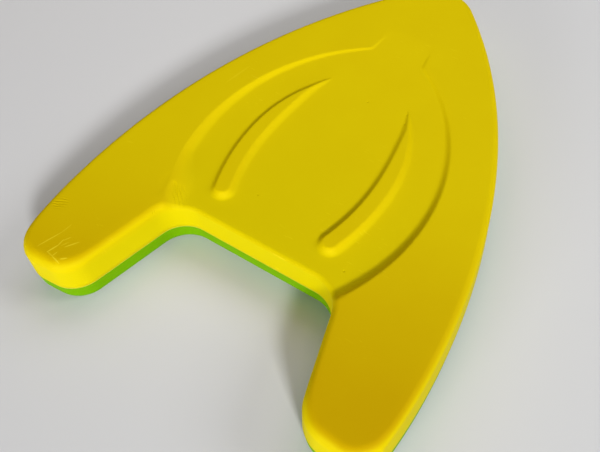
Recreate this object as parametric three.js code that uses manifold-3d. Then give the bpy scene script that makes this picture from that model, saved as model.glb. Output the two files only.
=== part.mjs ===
// A-shaped swimming kickboard, moulded from closed-cell EVA foam in two colours.
// A thick upper layer, with a sunken panel and two raised crescent grips, is glued to a thinner lower layer.
// Millimetres. +Z is up, +Y points to the nose, and X runs across the board.
// The plan is drawn with y = 0 on the front edge of the rear notch, and the group moves it so that
// the origin lies under the middle of the board's box, on the surface that the board rests on.

import * as THREE from "three";
import { mergeVertices } from "three/addons/utils/BufferGeometryUtils.js";
import Module from "manifold-3d";

// Plan outline, right half
const noseReach = 305; // notch front to the tip of the nose
const noseRadius = 38;
const noseArcShare = 0.53; // share of a quarter turn that the nose arc takes before the side begins
const sideNoseHandle = 205; // Bezier handle of the side where it leaves the nose
const sideTailHandle = 36; // Bezier handle of the side where it reaches the leg
const sideTailLean = 8; // degrees that the side still leans outwards at the leg
const legReach = 96.5; // notch front back to the outer corner of a leg
const legOuterHalfWidth = 147; // centre line to the outer corner of a leg
const legEndWidth = 52; // outer corner to inner corner of a leg's end
const legEndRake = 4; // how far the inner corner lies ahead of the outer one
const legOuterRadius = 23;
const legInnerRadius = 26;
const notchHalfWidth = 69.5; // centre line to the corner between notch front and leg
const notchCornerRadius = 25;

// Layers and moulded edges
const lowerThickness = 18;
const upperThickness = 28.7;
const filmThickness = 0.3;
const filmMargin = 2; // the glue stops this far short of the edge
const draftAngle = 3; // degrees that every side wall leans in from the joint
const topEdgeRadius = 5.5;
const legEndEdgeRadius = 8.5; // the top edge is rounder round the ends of the legs
const legEdgeFromY = -62; // where the top edge starts to round out, and where it has its full legEndEdgeRadius
const legEdgeFullY = -88;
const bottomEdgeRadius = 8;
const jointChamfer = 0.8; // small bevel on both layers along the joint

// Sunken panel in the upper layer
const panelNotchDepth = 6.5; // depth at the notch front, falling to nothing at the neck's end
const panelEdgeRadius = 3.5; // round edge where the panel runs out over the notch front
const panelArcRadius = 156; // both long sides are arcs of this radius
const panelHalfWidth = 93.5;
const panelWidestY = 76; // ahead of the notch front
const panelNeckHalfWidth = 23; // where the arcs turn into the neck
const panelNeckEndHalfWidth = 20;
const panelFadeY = 235; // the neck's end, where the panel is level with the rim
const panelTailY = -25; // the arcs run on into the open notch as far as this
const wallRunAtRim = 1.5; // width of the panel's wall where its depth is nothing
const wallRunShare = 1.5; // further width for each millimetre of depth
const slopePower = 1.5; // above 1, walls and grips rise slowly from a hollow foot and are steepest near the top

// Crescent grips
const crescentHeight = 4.2; // above the panel at the round end
const crescentTipHeight = 2.2; // what that height comes down to at the pointed end
const crescentHalfWidth = 11.6;
const crescentWallRun = 6.5; // width of the slope from its flat top to the panel
const narrowestTopShare = 0.06; // least share of a narrow crescent's width that its top keeps
const crescentEndX = 46.8; // centre of the round end, nearest the notch
const crescentEndY = 27.6;
const crescentTipX = 34.5;
const crescentTipY = 163.5;
const crescentBow = 14.5; // how far the middle line bows out from the straight
const crescentWidestShare = 0.2; // share of the middle line at full width before the taper
const crescentTaperPower = 3.5;

// Cutting allowances
const overrun = 10; // cutters run past the body by this much
const skinOverlap = 0.05; // keeps cutting faces from lying exactly in the faces that they trim
const crescentRoot = 1; // how far a crescent reaches down into the panel

// Steps that the curves are drawn with
const noseSteps = 10;
const sideSteps = 30;
const cornerSteps = 10;
const edgeSteps = 6;
const panelArcSteps = 30;
const panelWallSteps = 8;
const crescentSteps = 26;
const crescentEndSteps = 6;
const crescentFlankSteps = 5;
const crescentTopSteps = 4;

const upperYellow = new THREE.MeshStandardMaterial({ color: 0xeed60a, roughness: 0.5, metalness: 0 });
const lowerGreen = new THREE.MeshStandardMaterial({ color: 0x6fbe0a, roughness: 0.5, metalness: 0 });
const clearGlue = new THREE.MeshStandardMaterial({ color: 0xd8c98a, roughness: 0.35, metalness: 0 });

const wasm = await Module();
wasm.setup();

const radians = THREE.MathUtils.degToRad;
const ease = (t) => t * t * (3 - 2 * t);
const slope = (t) => ease(t ** slopePower);

// Solids

function solidFrom(positions, indices) {
  const geometry = new THREE.BufferGeometry();
  geometry.setAttribute("position", new THREE.Float32BufferAttribute(positions, 3));
  geometry.setIndex(indices);
  const merged = mergeVertices(geometry);
  return new wasm.Manifold(
    new wasm.Mesh({
      numProp: 3,
      vertProperties: merged.attributes.position.array,
      triVerts: new Uint32Array(merged.index.array),
    }),
  );
}

function meshOf(name, solid, material) {
  const data = solid.getMesh();
  const geometry = new THREE.BufferGeometry();
  geometry.setAttribute("position", new THREE.BufferAttribute(new Float32Array(data.vertProperties), 3));
  geometry.setIndex(new THREE.BufferAttribute(new Uint32Array(data.triVerts), 1));
  geometry.computeVertexNormals();
  const mesh = new THREE.Mesh(geometry, material);
  mesh.name = name;
  return mesh;
}

// Closed solid through rings of THREE.Vector3, listed from the lowest ring to the highest.
// Every ring runs anticlockwise seen from above and has the same number of points.
function loft(rings) {
  const count = rings[0].length;
  const positions = rings.flat().flatMap((p) => [p.x, p.y, p.z]);
  const indices = [];
  for (let r = 0; r + 1 < rings.length; r++) {
    for (let i = 0; i < count; i++) {
      const j = (i + 1) % count;
      const a = r * count;
      const b = a + count;
      indices.push(a + i, a + j, b + j, a + i, b + j, b + i);
    }
  }
  const top = (rings.length - 1) * count;
  const flat = (ring) => ring.map((p) => new THREE.Vector2(p.x, p.y));
  for (const [a, b, c] of THREE.ShapeUtils.triangulateShape(flat(rings[0]), [])) indices.push(a, c, b);
  for (const [a, b, c] of THREE.ShapeUtils.triangulateShape(flat(rings.at(-1)), [])) {
    indices.push(top + a, top + b, top + c);
  }
  return solidFrom(positions, indices);
}

// Plan curves

// The arc that rounds the corner at `corner`, between the ways to `before` and to `after`.
// A radius too large for the edges beside it is held to what fits.
function cornerArc(before, corner, after, radius) {
  const fittingShare = 0.48;
  const toBefore = before.clone().sub(corner);
  const toAfter = after.clone().sub(corner);
  const room = fittingShare * Math.min(toBefore.length(), toAfter.length());
  toBefore.normalize();
  toAfter.normalize();
  const half = Math.acos(THREE.MathUtils.clamp(toBefore.dot(toAfter), -1, 1)) / 2;
  const fitted = Math.min(radius, room * Math.tan(half));
  const middle = toBefore.clone().add(toAfter).setLength(fitted / Math.sin(half)).add(corner);
  const start = toBefore.multiplyScalar(fitted / Math.tan(half)).add(corner).sub(middle);
  const end = toAfter.multiplyScalar(fitted / Math.tan(half)).add(corner).sub(middle);
  const turn = Math.atan2(start.cross(end), start.dot(end));
  return Array.from({ length: cornerSteps + 1 }, (_, i) =>
    start.clone().rotateAround(new THREE.Vector2(), (turn * i) / cornerSteps).add(middle),
  );
}

// Right half of the plan, from the notch's middle round the leg and up the side to the nose.
function outlineHalf() {
  const outer = new THREE.Vector2(legOuterHalfWidth, -legReach);
  const inner = new THREE.Vector2(legOuterHalfWidth - legEndWidth, legEndRake - legReach);
  const notch = new THREE.Vector2(notchHalfWidth, 0);
  const lean = radians(sideTailLean);
  const upSide = new THREE.Vector2(Math.sin(lean), Math.cos(lean));
  const sideAhead = upSide.clone().multiplyScalar(noseReach).add(outer);
  const outerArc = cornerArc(inner, outer, sideAhead, legOuterRadius);
  const noseCentre = new THREE.Vector2(0, noseReach - noseRadius);
  const noseEnd = radians(90 * (1 - noseArcShare));
  const noseWay = new THREE.Vector2(Math.sin(noseEnd), -Math.cos(noseEnd));
  const onNose = (angle) =>
    new THREE.Vector2(Math.cos(angle), Math.sin(angle)).multiplyScalar(noseRadius).add(noseCentre);
  const sideStart = outerArc.at(-1);
  const side = new THREE.CubicBezierCurve(
    sideStart,
    upSide.clone().multiplyScalar(sideTailHandle).add(sideStart),
    noseWay.clone().multiplyScalar(sideNoseHandle).add(onNose(noseEnd)),
    onNose(noseEnd),
  );
  const nose = Array.from({ length: noseSteps }, (_, i) =>
    onNose(noseEnd + ((Math.PI / 2 - noseEnd) * (i + 1)) / noseSteps),
  );
  return [
    new THREE.Vector2(0, 0),
    ...cornerArc(new THREE.Vector2(0, 0), notch, inner, notchCornerRadius),
    ...cornerArc(notch, inner, outer, legInnerRadius),
    ...outerArc,
    ...side.getPoints(sideSteps).slice(1),
    ...nose,
  ];
}

// Closes a right half, whose two ends lie on the centre line, with its mirror image. Runs anticlockwise.
function mirrored(half) {
  const left = half.slice(1, -1).reverse().map((p) => new THREE.Vector2(-p.x, p.y));
  return [...half, ...left];
}

// Outward direction at each point, lengthened at a corner so that both its edges move by the same amount.
function outwards(points) {
  return points.map((p, i) => {
    const before = p.clone().sub(points.at(i - 1)).normalize();
    const after = points[(i + 1) % points.length].clone().sub(p).normalize();
    const way = before.clone().add(after).normalize();
    return new THREE.Vector2(way.y, -way.x).divideScalar(Math.max(way.dot(after), 0.5));
  });
}

const outline = mirrored(outlineHalf());
const outlineOutwards = outwards(outline);

// The outline moved outwards by `offset(i)`, at height `z(x, y, i)`.
function outlineRing(offset, z) {
  return outline.map((p, i) => {
    const q = outlineOutwards[i].clone().multiplyScalar(offset(i)).add(p);
    return new THREE.Vector3(q.x, q.y, z(q.x, q.y, i));
  });
}

// Foam layers

const lean = Math.tan(radians(draftAngle));

// Side profile of a moulded layer, from its flat joint face out to its rounded far edge, as [inset, height].
function edgeProfile(height, radius) {
  const wallTop = height - radius;
  const profile = [
    [jointChamfer, 0],
    [jointChamfer * lean, jointChamfer],
  ];
  for (let i = 0; i <= edgeSteps; i++) {
    const angle = ((Math.PI / 2) * i) / edgeSteps;
    profile.push([wallTop * lean + radius * (1 - Math.cos(angle)), wallTop + radius * Math.sin(angle)]);
  }
  return profile;
}

function lowerLayer() {
  const rings = edgeProfile(lowerThickness, bottomEdgeRadius).map(([inset, height]) =>
    outlineRing(() => -inset, () => lowerThickness - height),
  );
  return loft(rings.reverse());
}

const upperBase = lowerThickness + filmThickness;
const rimZ = upperBase + upperThickness;

// Depth of the sunken panel below the rim. It is nothing at the neck's end, and less than nothing beyond.
const panelDepthAt = (y) => (panelNotchDepth * (panelFadeY - y)) / panelFadeY;

// Radius of the top edge, larger round the ends of the legs.
function topRadiusAt(y) {
  const share = THREE.MathUtils.clamp((y - legEdgeFromY) / (legEdgeFullY - legEdgeFromY), 0, 1);
  return THREE.MathUtils.lerp(topEdgeRadius, legEndEdgeRadius, ease(share));
}

function rimBody() {
  const profiles = outline.map((p) => edgeProfile(upperThickness, topRadiusAt(p.y)));
  const rings = profiles[0].map((_, level) =>
    outlineRing(
      (i) => -profiles[i][level][0],
      (x, y, i) => upperBase + profiles[i][level][1],
    ),
  );
  return loft(rings);
}

// The layer as if its whole top were as low as the panel, a hair larger than the rim body all round.
function panelBody() {
  const heightAt = outline.map((p) => upperThickness - panelDepthAt(p.y));
  const profiles = heightAt.map((height) => edgeProfile(height, panelEdgeRadius));
  const rings = profiles[0].map((_, level) =>
    outlineRing(
      (i) => skinOverlap - profiles[i][level][0],
      (x, y, i) => upperBase - skinOverlap + profiles[i][level][1] + (level ? skinOverlap : 0),
    ),
  );
  return loft(rings);
}

// Plan of the panel, right half, from the open notch up its long side to the neck's end.
function panelHalf() {
  const centre = new THREE.Vector2(panelHalfWidth - panelArcRadius, panelWidestY);
  const angleAtY = (y) => Math.asin((y - centre.y) / panelArcRadius);
  const from = angleAtY(panelTailY);
  const to = Math.acos((panelNeckHalfWidth - centre.x) / panelArcRadius);
  const arc = Array.from({ length: panelArcSteps + 1 }, (_, i) => {
    const angle = from + ((to - from) * i) / panelArcSteps;
    return new THREE.Vector2(Math.cos(angle), Math.sin(angle)).multiplyScalar(panelArcRadius).add(centre);
  });
  return [
    new THREE.Vector2(0, panelTailY),
    ...arc,
    new THREE.Vector2(panelNeckEndHalfWidth, panelFadeY),
    new THREE.Vector2(0, panelFadeY),
  ];
}

// What the mould presses away: the space over the panel, with soft S-shaped walls up to the rim.
function panelCutter() {
  const plan = mirrored(panelHalf());
  const out = outwards(plan);
  const ring = (t, z) =>
    plan.map((p, i) => {
      const run = wallRunAtRim + wallRunShare * Math.max(panelDepthAt(p.y), 0);
      const q = out[i].clone().multiplyScalar(run * (t - 0.5)).add(p);
      return new THREE.Vector3(q.x, q.y, z(q.y));
    });
  const rings = [ring(0, () => upperBase - overrun)];
  for (let i = 0; i <= panelWallSteps; i++) {
    const t = i / panelWallSteps;
    rings.push(
      ring(t, (y) => {
        const foot = rimZ - Math.max(panelDepthAt(y), 0) - skinOverlap;
        return foot + (rimZ + skinOverlap - foot) * slope(t);
      }),
    );
  }
  rings.push(ring(1, () => rimZ + overrun));
  return loft(rings).subtract(panelBody());
}

// Places across a crescent, from -1 to 1: a slope, the flat top and the other slope.
function crescentAcross(flankShare) {
  const across = [];
  for (let i = 0; i <= crescentFlankSteps; i++) across.push(-1 + (flankShare * i) / crescentFlankSteps);
  const topHalf = 1 - flankShare;
  for (let i = 1; i < crescentTopSteps; i++) across.push(topHalf * ((2 * i) / crescentTopSteps - 1));
  for (let i = crescentFlankSteps; i >= 0; i--) across.push(1 - (flankShare * i) / crescentFlankSteps);
  return across;
}

// One crescent grip: a bowed ridge with a round end by the notch and a point towards the nose.
function crescent(side) {
  const end = new THREE.Vector2(crescentEndX, crescentEndY);
  const tip = new THREE.Vector2(crescentTipX, crescentTipY);
  const chord = tip.clone().sub(end);
  const halfChord = chord.length() / 2;
  const radius = (halfChord * halfChord + crescentBow * crescentBow) / (2 * crescentBow);
  const outward = new THREE.Vector2(chord.y, -chord.x).normalize();
  const centre = end.clone().add(tip).divideScalar(2).add(outward.clone().multiplyScalar(crescentBow - radius));
  const startAngle = end.clone().sub(centre).angle();
  const sweep = 2 * Math.asin(halfChord / radius);
  const first = startAngle > Math.PI ? startAngle - 2 * Math.PI : startAngle;
  const alongAt = (share) => {
    const way = new THREE.Vector2(Math.cos(first + sweep * share), Math.sin(first + sweep * share));
    return { way, at: way.clone().multiplyScalar(radius).add(centre) };
  };
  const endShare = crescentHalfWidth / (radius * sweep); // the round end, as a share of the middle line

  // Stations along the middle line: where, how wide, and how far past the round end's centre.
  // They stand closer together towards the point, where the width changes fast.
  const stations = [];
  for (let i = 0; i <= crescentEndSteps; i++) {
    const past = Math.cos(((Math.PI / 2) * i) / crescentEndSteps);
    stations.push({ share: -endShare * past, halfWidth: crescentHalfWidth * Math.sqrt(1 - past * past), past });
  }
  for (let i = 1; i <= crescentSteps; i++) {
    const share = Math.sin(((Math.PI / 2) * i) / crescentSteps);
    const taper = Math.max(share - crescentWidestShare, 0) / (1 - crescentWidestShare);
    stations.push({ share, halfWidth: crescentHalfWidth * (1 - taper ** crescentTaperPower), past: 0 });
  }

  const rows = stations.map(({ share, halfWidth, past }) => {
    const { way, at } = alongAt(share);
    const fullWidth = past ? crescentHalfWidth : halfWidth;
    const flankShare = Math.min(crescentWallRun / Math.max(fullWidth, skinOverlap), 1 - narrowestTopShare);
    const bump = (r) => slope(THREE.MathUtils.clamp((1 - r) / flankShare, 0, 1));
    const reach = THREE.MathUtils.lerp(crescentHeight, crescentTipHeight, Math.max(share, 0));
    const height = reach * Math.min(1, fullWidth / crescentWallRun);
    return crescentAcross(flankShare).map((u) => {
      const p = way.clone().multiplyScalar(u * halfWidth).add(at);
      const r = Math.hypot(past, u * Math.sqrt(1 - past * past));
      const panelZ = rimZ - panelDepthAt(p.y);
      const root = panelZ - skinOverlap;
      return { x: side * p.x, y: p.y, top: root + (height + skinOverlap) * bump(r), under: root - crescentRoot };
    });
  });

  const positions = [];
  rows.flat().forEach((p) => positions.push(p.x, p.y, p.top));
  rows.flat().forEach((p) => positions.push(p.x, p.y, p.under));
  const width = rows[0].length;
  const below = rows.length * width;
  const indices = [];
  const quad = (a, b, c, d) => {
    if (side > 0) indices.push(a, b, c, a, c, d);
    else indices.push(a, c, b, a, d, c);
  };
  for (let r = 0; r + 1 < rows.length; r++) {
    for (let i = 0; i + 1 < width; i++) {
      const a = r * width + i;
      quad(a, a + 1, a + width + 1, a + width);
      quad(below + a, below + a + width, below + a + width + 1, below + a + 1);
    }
    const inner = r * width;
    const outer = inner + width - 1;
    quad(inner, inner + width, below + inner + width, below + inner);
    quad(outer, below + outer, below + outer + width, outer + width);
  }
  return solidFrom(positions, indices);
}

function upperLayer() {
  return rimBody().subtract(panelCutter()).add(crescent(1)).add(crescent(-1));
}

function glueFilm() {
  const ring = (z) => outlineRing(() => -filmMargin, () => z);
  return loft([ring(lowerThickness), ring(upperBase)]);
}

// Assembly

const kickboard = new THREE.Group();
kickboard.add(
  meshOf("lower_foam_layer", lowerLayer(), lowerGreen),
  meshOf("glue_film", glueFilm(), clearGlue),
  meshOf("upper_foam_layer", upperLayer(), upperYellow),
);

const plan = new THREE.Box2().setFromPoints(outline);
kickboard.position.y = -plan.getCenter(new THREE.Vector2()).y;

export default kickboard;
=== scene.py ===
"""Looks of an A-shaped foam kickboard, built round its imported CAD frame.

The board is two moulded foam layers joined by a film of glue. The upper layer's skin is a plain rounded
blank that a Geometry Nodes tree presses into its relief: a sunken, tilted panel and two crescent grips.
Sizes in the classes are millimetres, in the plan's own axes with y = 0 on the front edge of the notch.
Meshes are in metres, in the frame's axes.
"""

import logging
import math
from dataclasses import dataclass, field
from enum import Enum

import bpy
import numpy as np
from mathutils import Matrix, Vector
from mathutils.geometry import delaunay_2d_cdt


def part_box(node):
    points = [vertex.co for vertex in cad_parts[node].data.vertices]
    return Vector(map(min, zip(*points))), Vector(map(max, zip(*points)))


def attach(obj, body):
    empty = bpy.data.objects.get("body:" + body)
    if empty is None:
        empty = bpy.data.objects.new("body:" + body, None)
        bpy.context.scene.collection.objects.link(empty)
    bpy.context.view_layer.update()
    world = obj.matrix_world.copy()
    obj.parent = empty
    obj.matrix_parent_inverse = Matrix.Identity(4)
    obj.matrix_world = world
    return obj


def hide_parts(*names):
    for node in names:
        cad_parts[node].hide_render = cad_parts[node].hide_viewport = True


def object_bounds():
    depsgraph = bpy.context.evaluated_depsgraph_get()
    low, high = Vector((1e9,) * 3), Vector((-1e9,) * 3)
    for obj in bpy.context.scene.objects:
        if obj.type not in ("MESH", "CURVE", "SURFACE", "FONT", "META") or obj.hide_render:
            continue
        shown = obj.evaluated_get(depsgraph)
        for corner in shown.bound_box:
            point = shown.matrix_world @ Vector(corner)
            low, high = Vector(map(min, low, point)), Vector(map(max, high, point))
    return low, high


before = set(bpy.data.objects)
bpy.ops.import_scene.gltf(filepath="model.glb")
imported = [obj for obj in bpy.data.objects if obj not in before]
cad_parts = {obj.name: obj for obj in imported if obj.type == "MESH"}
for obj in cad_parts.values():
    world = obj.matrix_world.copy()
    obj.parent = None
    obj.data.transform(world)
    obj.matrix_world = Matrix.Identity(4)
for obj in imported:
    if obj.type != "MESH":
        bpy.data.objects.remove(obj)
CAD_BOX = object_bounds()

MM = 0.001
TINY = 1e-6
SEED = 7
BODY = "root"
UPPER_NODE = "upper_foam_layer"
LOWER_NODE = "lower_foam_layer"
FILM_NODE = "glue_film"
MEASURING = ("LENGTH", "DISTANCE", "DOT_PRODUCT")

log = logging.getLogger("kickboard")
Tree = bpy.types.NodeTree
Socket = bpy.types.NodeSocket
Sockets = bpy.types.NodeOutputs
Material = bpy.types.Material
Piece = bpy.types.Object
Colour = tuple[float, float, float, float]
Pair = tuple[float, float]
Triple = tuple[float, float, float]


class Facing(Enum):
    """Which way a foam layer's moulded face looks from the joint."""

    UP = 1
    DOWN = -1


class TreeKind(Enum):
    """Node tree types that share the same formula nodes."""

    GEOMETRY = "GeometryNodeTree"
    SHADER = "ShaderNodeTree"


class Kind(Enum):
    """What a node group's input or output carries."""

    NUMBER = "NodeSocketFloat"
    WHOLE = "NodeSocketInt"
    VECTOR = "NodeSocketVector"
    SHAPE = "NodeSocketGeometry"
    MATERIAL = "NodeSocketMaterial"


def srgb(red: int, green: int, blue: int) -> Colour:
    """Turns a colour as written on screen, 0 to 255, into a linear colour.

    Args:
        red: Red, 0 to 255.
        green: Green, 0 to 255.
        blue: Blue, 0 to 255.

    Returns:
        Linear red, green and blue, and an alpha of 1.
    """

    def linear(value: int) -> float:
        """Decodes one channel."""
        share = value / 255
        return share / 12.92 if share <= 0.04045 else ((share + 0.055) / 1.055) ** 2.4

    return linear(red), linear(green), linear(blue), 1.0


def metres(lengths: dict[str, float]) -> dict[str, float]:
    """Named lengths, turned from millimetres into metres."""
    return {name: float(length) * MM for name, length in lengths.items()}


def unit(vectors: np.ndarray) -> np.ndarray:
    """Rows of vectors, each made one long."""
    return vectors / np.linalg.norm(vectors, axis=-1, keepdims=True)


def way(azimuth: float, elevation: float) -> Vector:
    """Finds which way the camera or a lamp lies from the board.

    Args:
        azimuth: Degrees round the board, from -Y towards +X.
        elevation: Degrees above the floor.

    Returns:
        A vector that is one long.
    """
    turn, rise = math.radians(azimuth), math.radians(elevation)
    flat = math.cos(rise)
    return Vector((math.sin(turn) * flat, -math.cos(turn) * flat, math.sin(rise)))


def add_object(name: str, data: bpy.types.ID) -> Piece:
    """Makes an object and links it to the scene.

    Args:
        name: The object's name.
        data: Its mesh, camera or light.

    Returns:
        The new object.
    """
    made = bpy.data.objects.new(name, data)
    bpy.context.scene.collection.objects.link(made)
    return made


def add_mesh(name: str, points: list, edges: list, faces: list) -> Piece:
    """Makes an object with a mesh and links it to the scene.

    Args:
        name: Name of the mesh and the object.
        points: Where the vertices are.
        edges: Pairs of vertices, for a mesh without faces.
        faces: Rings of vertices.

    Returns:
        The new object.
    """
    mesh = bpy.data.meshes.new(name)
    mesh.from_pydata(points, edges, faces)
    return add_object(name, mesh)


@dataclass
class Wiring:
    """Adds nodes to one tree and joins them, so that a formula reads in its own order."""

    tree: Tree

    def node(self, kind: str, inputs: dict | None = None, **settings: object) -> bpy.types.Node:
        """Adds a node.

        Args:
            kind: The node's type.
            inputs: Socket name or number to an output socket that joins it, or to a plain value.
            **settings: Properties of the node, set before its inputs.

        Returns:
            The new node.
        """
        made = self.tree.nodes.new(kind)
        for name, value in settings.items():
            setattr(made, name, value)
        for key, value in (inputs or {}).items():
            if isinstance(value, Socket):
                self.tree.links.new(value, made.inputs[key])
            else:
                made.inputs[key].default_value = value
        return made

    def math(self, operation: str, *operands: object, clamp: bool = False) -> Socket:
        """Adds a Math node.

        Args:
            operation: The node's operation.
            *operands: Numbers or sockets, in order.
            clamp: Holds the result between 0 and 1.

        Returns:
            The node's result.
        """
        inputs = dict(enumerate(operands))
        return self.node("ShaderNodeMath", inputs, operation=operation, use_clamp=clamp).outputs[0]

    def vector(self, operation: str, *operands: object) -> Socket:
        """Adds a Vector Math node.

        Args:
            operation: The node's operation.
            *operands: Vectors or sockets, in order.

        Returns:
            A number where the operation measures vectors, and otherwise a vector.
        """
        made = self.node("ShaderNodeVectorMath", dict(enumerate(operands)), operation=operation)
        return made.outputs["Value" if operation in MEASURING else "Vector"]

    def scaled(self, vector: Socket, factor: Socket) -> Socket:
        """A vector times a number."""
        inputs = {0: vector, "Scale": factor}
        return self.node("ShaderNodeVectorMath", inputs, operation="SCALE").outputs["Vector"]

    def flat(self, place: Socket) -> Socket:
        """A place with its height taken away."""
        return self.vector("MULTIPLY", place, (1, 1, 0))

    def span(self, x: Socket, y: Socket, z: object = 0.0) -> Socket:
        """How long the vector with these parts is."""
        return self.vector("LENGTH", self.node("ShaderNodeCombineXYZ", {0: x, 1: y, 2: z}).outputs[0])

    def ease(
        self, value: object, low: object, high: object, at_low: object = 0.0, at_high: object = 1.0
    ) -> Socket:
        """Adds a smooth step between two values.

        Args:
            value: What is mapped.
            low: Where the step starts.
            high: Where the step ends.
            at_low: Result up to low.
            at_high: Result from high on.

        Returns:
            The eased result.
        """
        inputs = {"Value": value, "From Min": low, "From Max": high, "To Min": at_low, "To Max": at_high}
        return self.node("ShaderNodeMapRange", inputs, interpolation_type="SMOOTHSTEP").outputs["Result"]

    def noise(self, place: Socket, size: object, detail: float = 2.0) -> Socket:
        """Adds seeded noise.

        Args:
            place: Where it is read.
            size: About how far across its features are, in metres.
            detail: How fine it goes.

        Returns:
            The noise, 0 to 1.
        """
        scale = self.math("DIVIDE", 1.0, size)
        inputs = {"Vector": place, "Scale": scale, "Detail": detail, "W": float(SEED)}
        return self.node("ShaderNodeTexNoise", inputs, noise_dimensions="4D").outputs[0]

    def mix_colour(self, factor: object, first: object, second: object) -> Socket:
        """Mixes two colours, by the share of the second."""
        return self.node("ShaderNodeMix", {0: factor, 6: first, 7: second}, data_type="RGBA").outputs[2]

    def surface(self, inputs: dict[str, object]) -> None:
        """Adds the material's shader, with these inputs, and its output."""
        shader = self.node("ShaderNodeBsdfPrincipled", inputs)
        self.node("ShaderNodeOutputMaterial", {"Surface": shader.outputs["BSDF"]})

    def put_out(self, results: dict[str, Socket]) -> Tree:
        """Adds the group's output and gives the finished group."""
        self.node("NodeGroupOutput", results)
        return self.tree


def start_group(
    name: str, kind: TreeKind, inputs: dict[str, Kind], outputs: dict[str, Kind]
) -> tuple[Wiring, Sockets]:
    """Starts a node group with named inputs and outputs.

    Args:
        name: The group's name.
        kind: Geometry or shader tree.
        inputs: Name to what it carries.
        outputs: Name to what it carries.

    Returns:
        The group's wiring, and its inputs by name.
    """
    tree = bpy.data.node_groups.new(name, kind.value)
    for in_out, sockets in (("INPUT", inputs), ("OUTPUT", outputs)):
        for label, carried in sockets.items():
            tree.interface.new_socket(label, in_out=in_out, socket_type=carried.value)
    w = Wiring(tree)
    return w, w.node("NodeGroupInput").outputs


def start_material(name: str) -> tuple[Material, Wiring, Socket]:
    """Starts a material that has no shader yet.

    Args:
        name: The material's name.

    Returns:
        The material, its wiring, and the place on the piece.
    """
    made = bpy.data.materials.new(name)
    made.use_nodes = True
    made.node_tree.nodes.clear()
    w = Wiring(made.node_tree)
    return made, w, w.node("ShaderNodeTexCoord").outputs["Object"]


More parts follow.
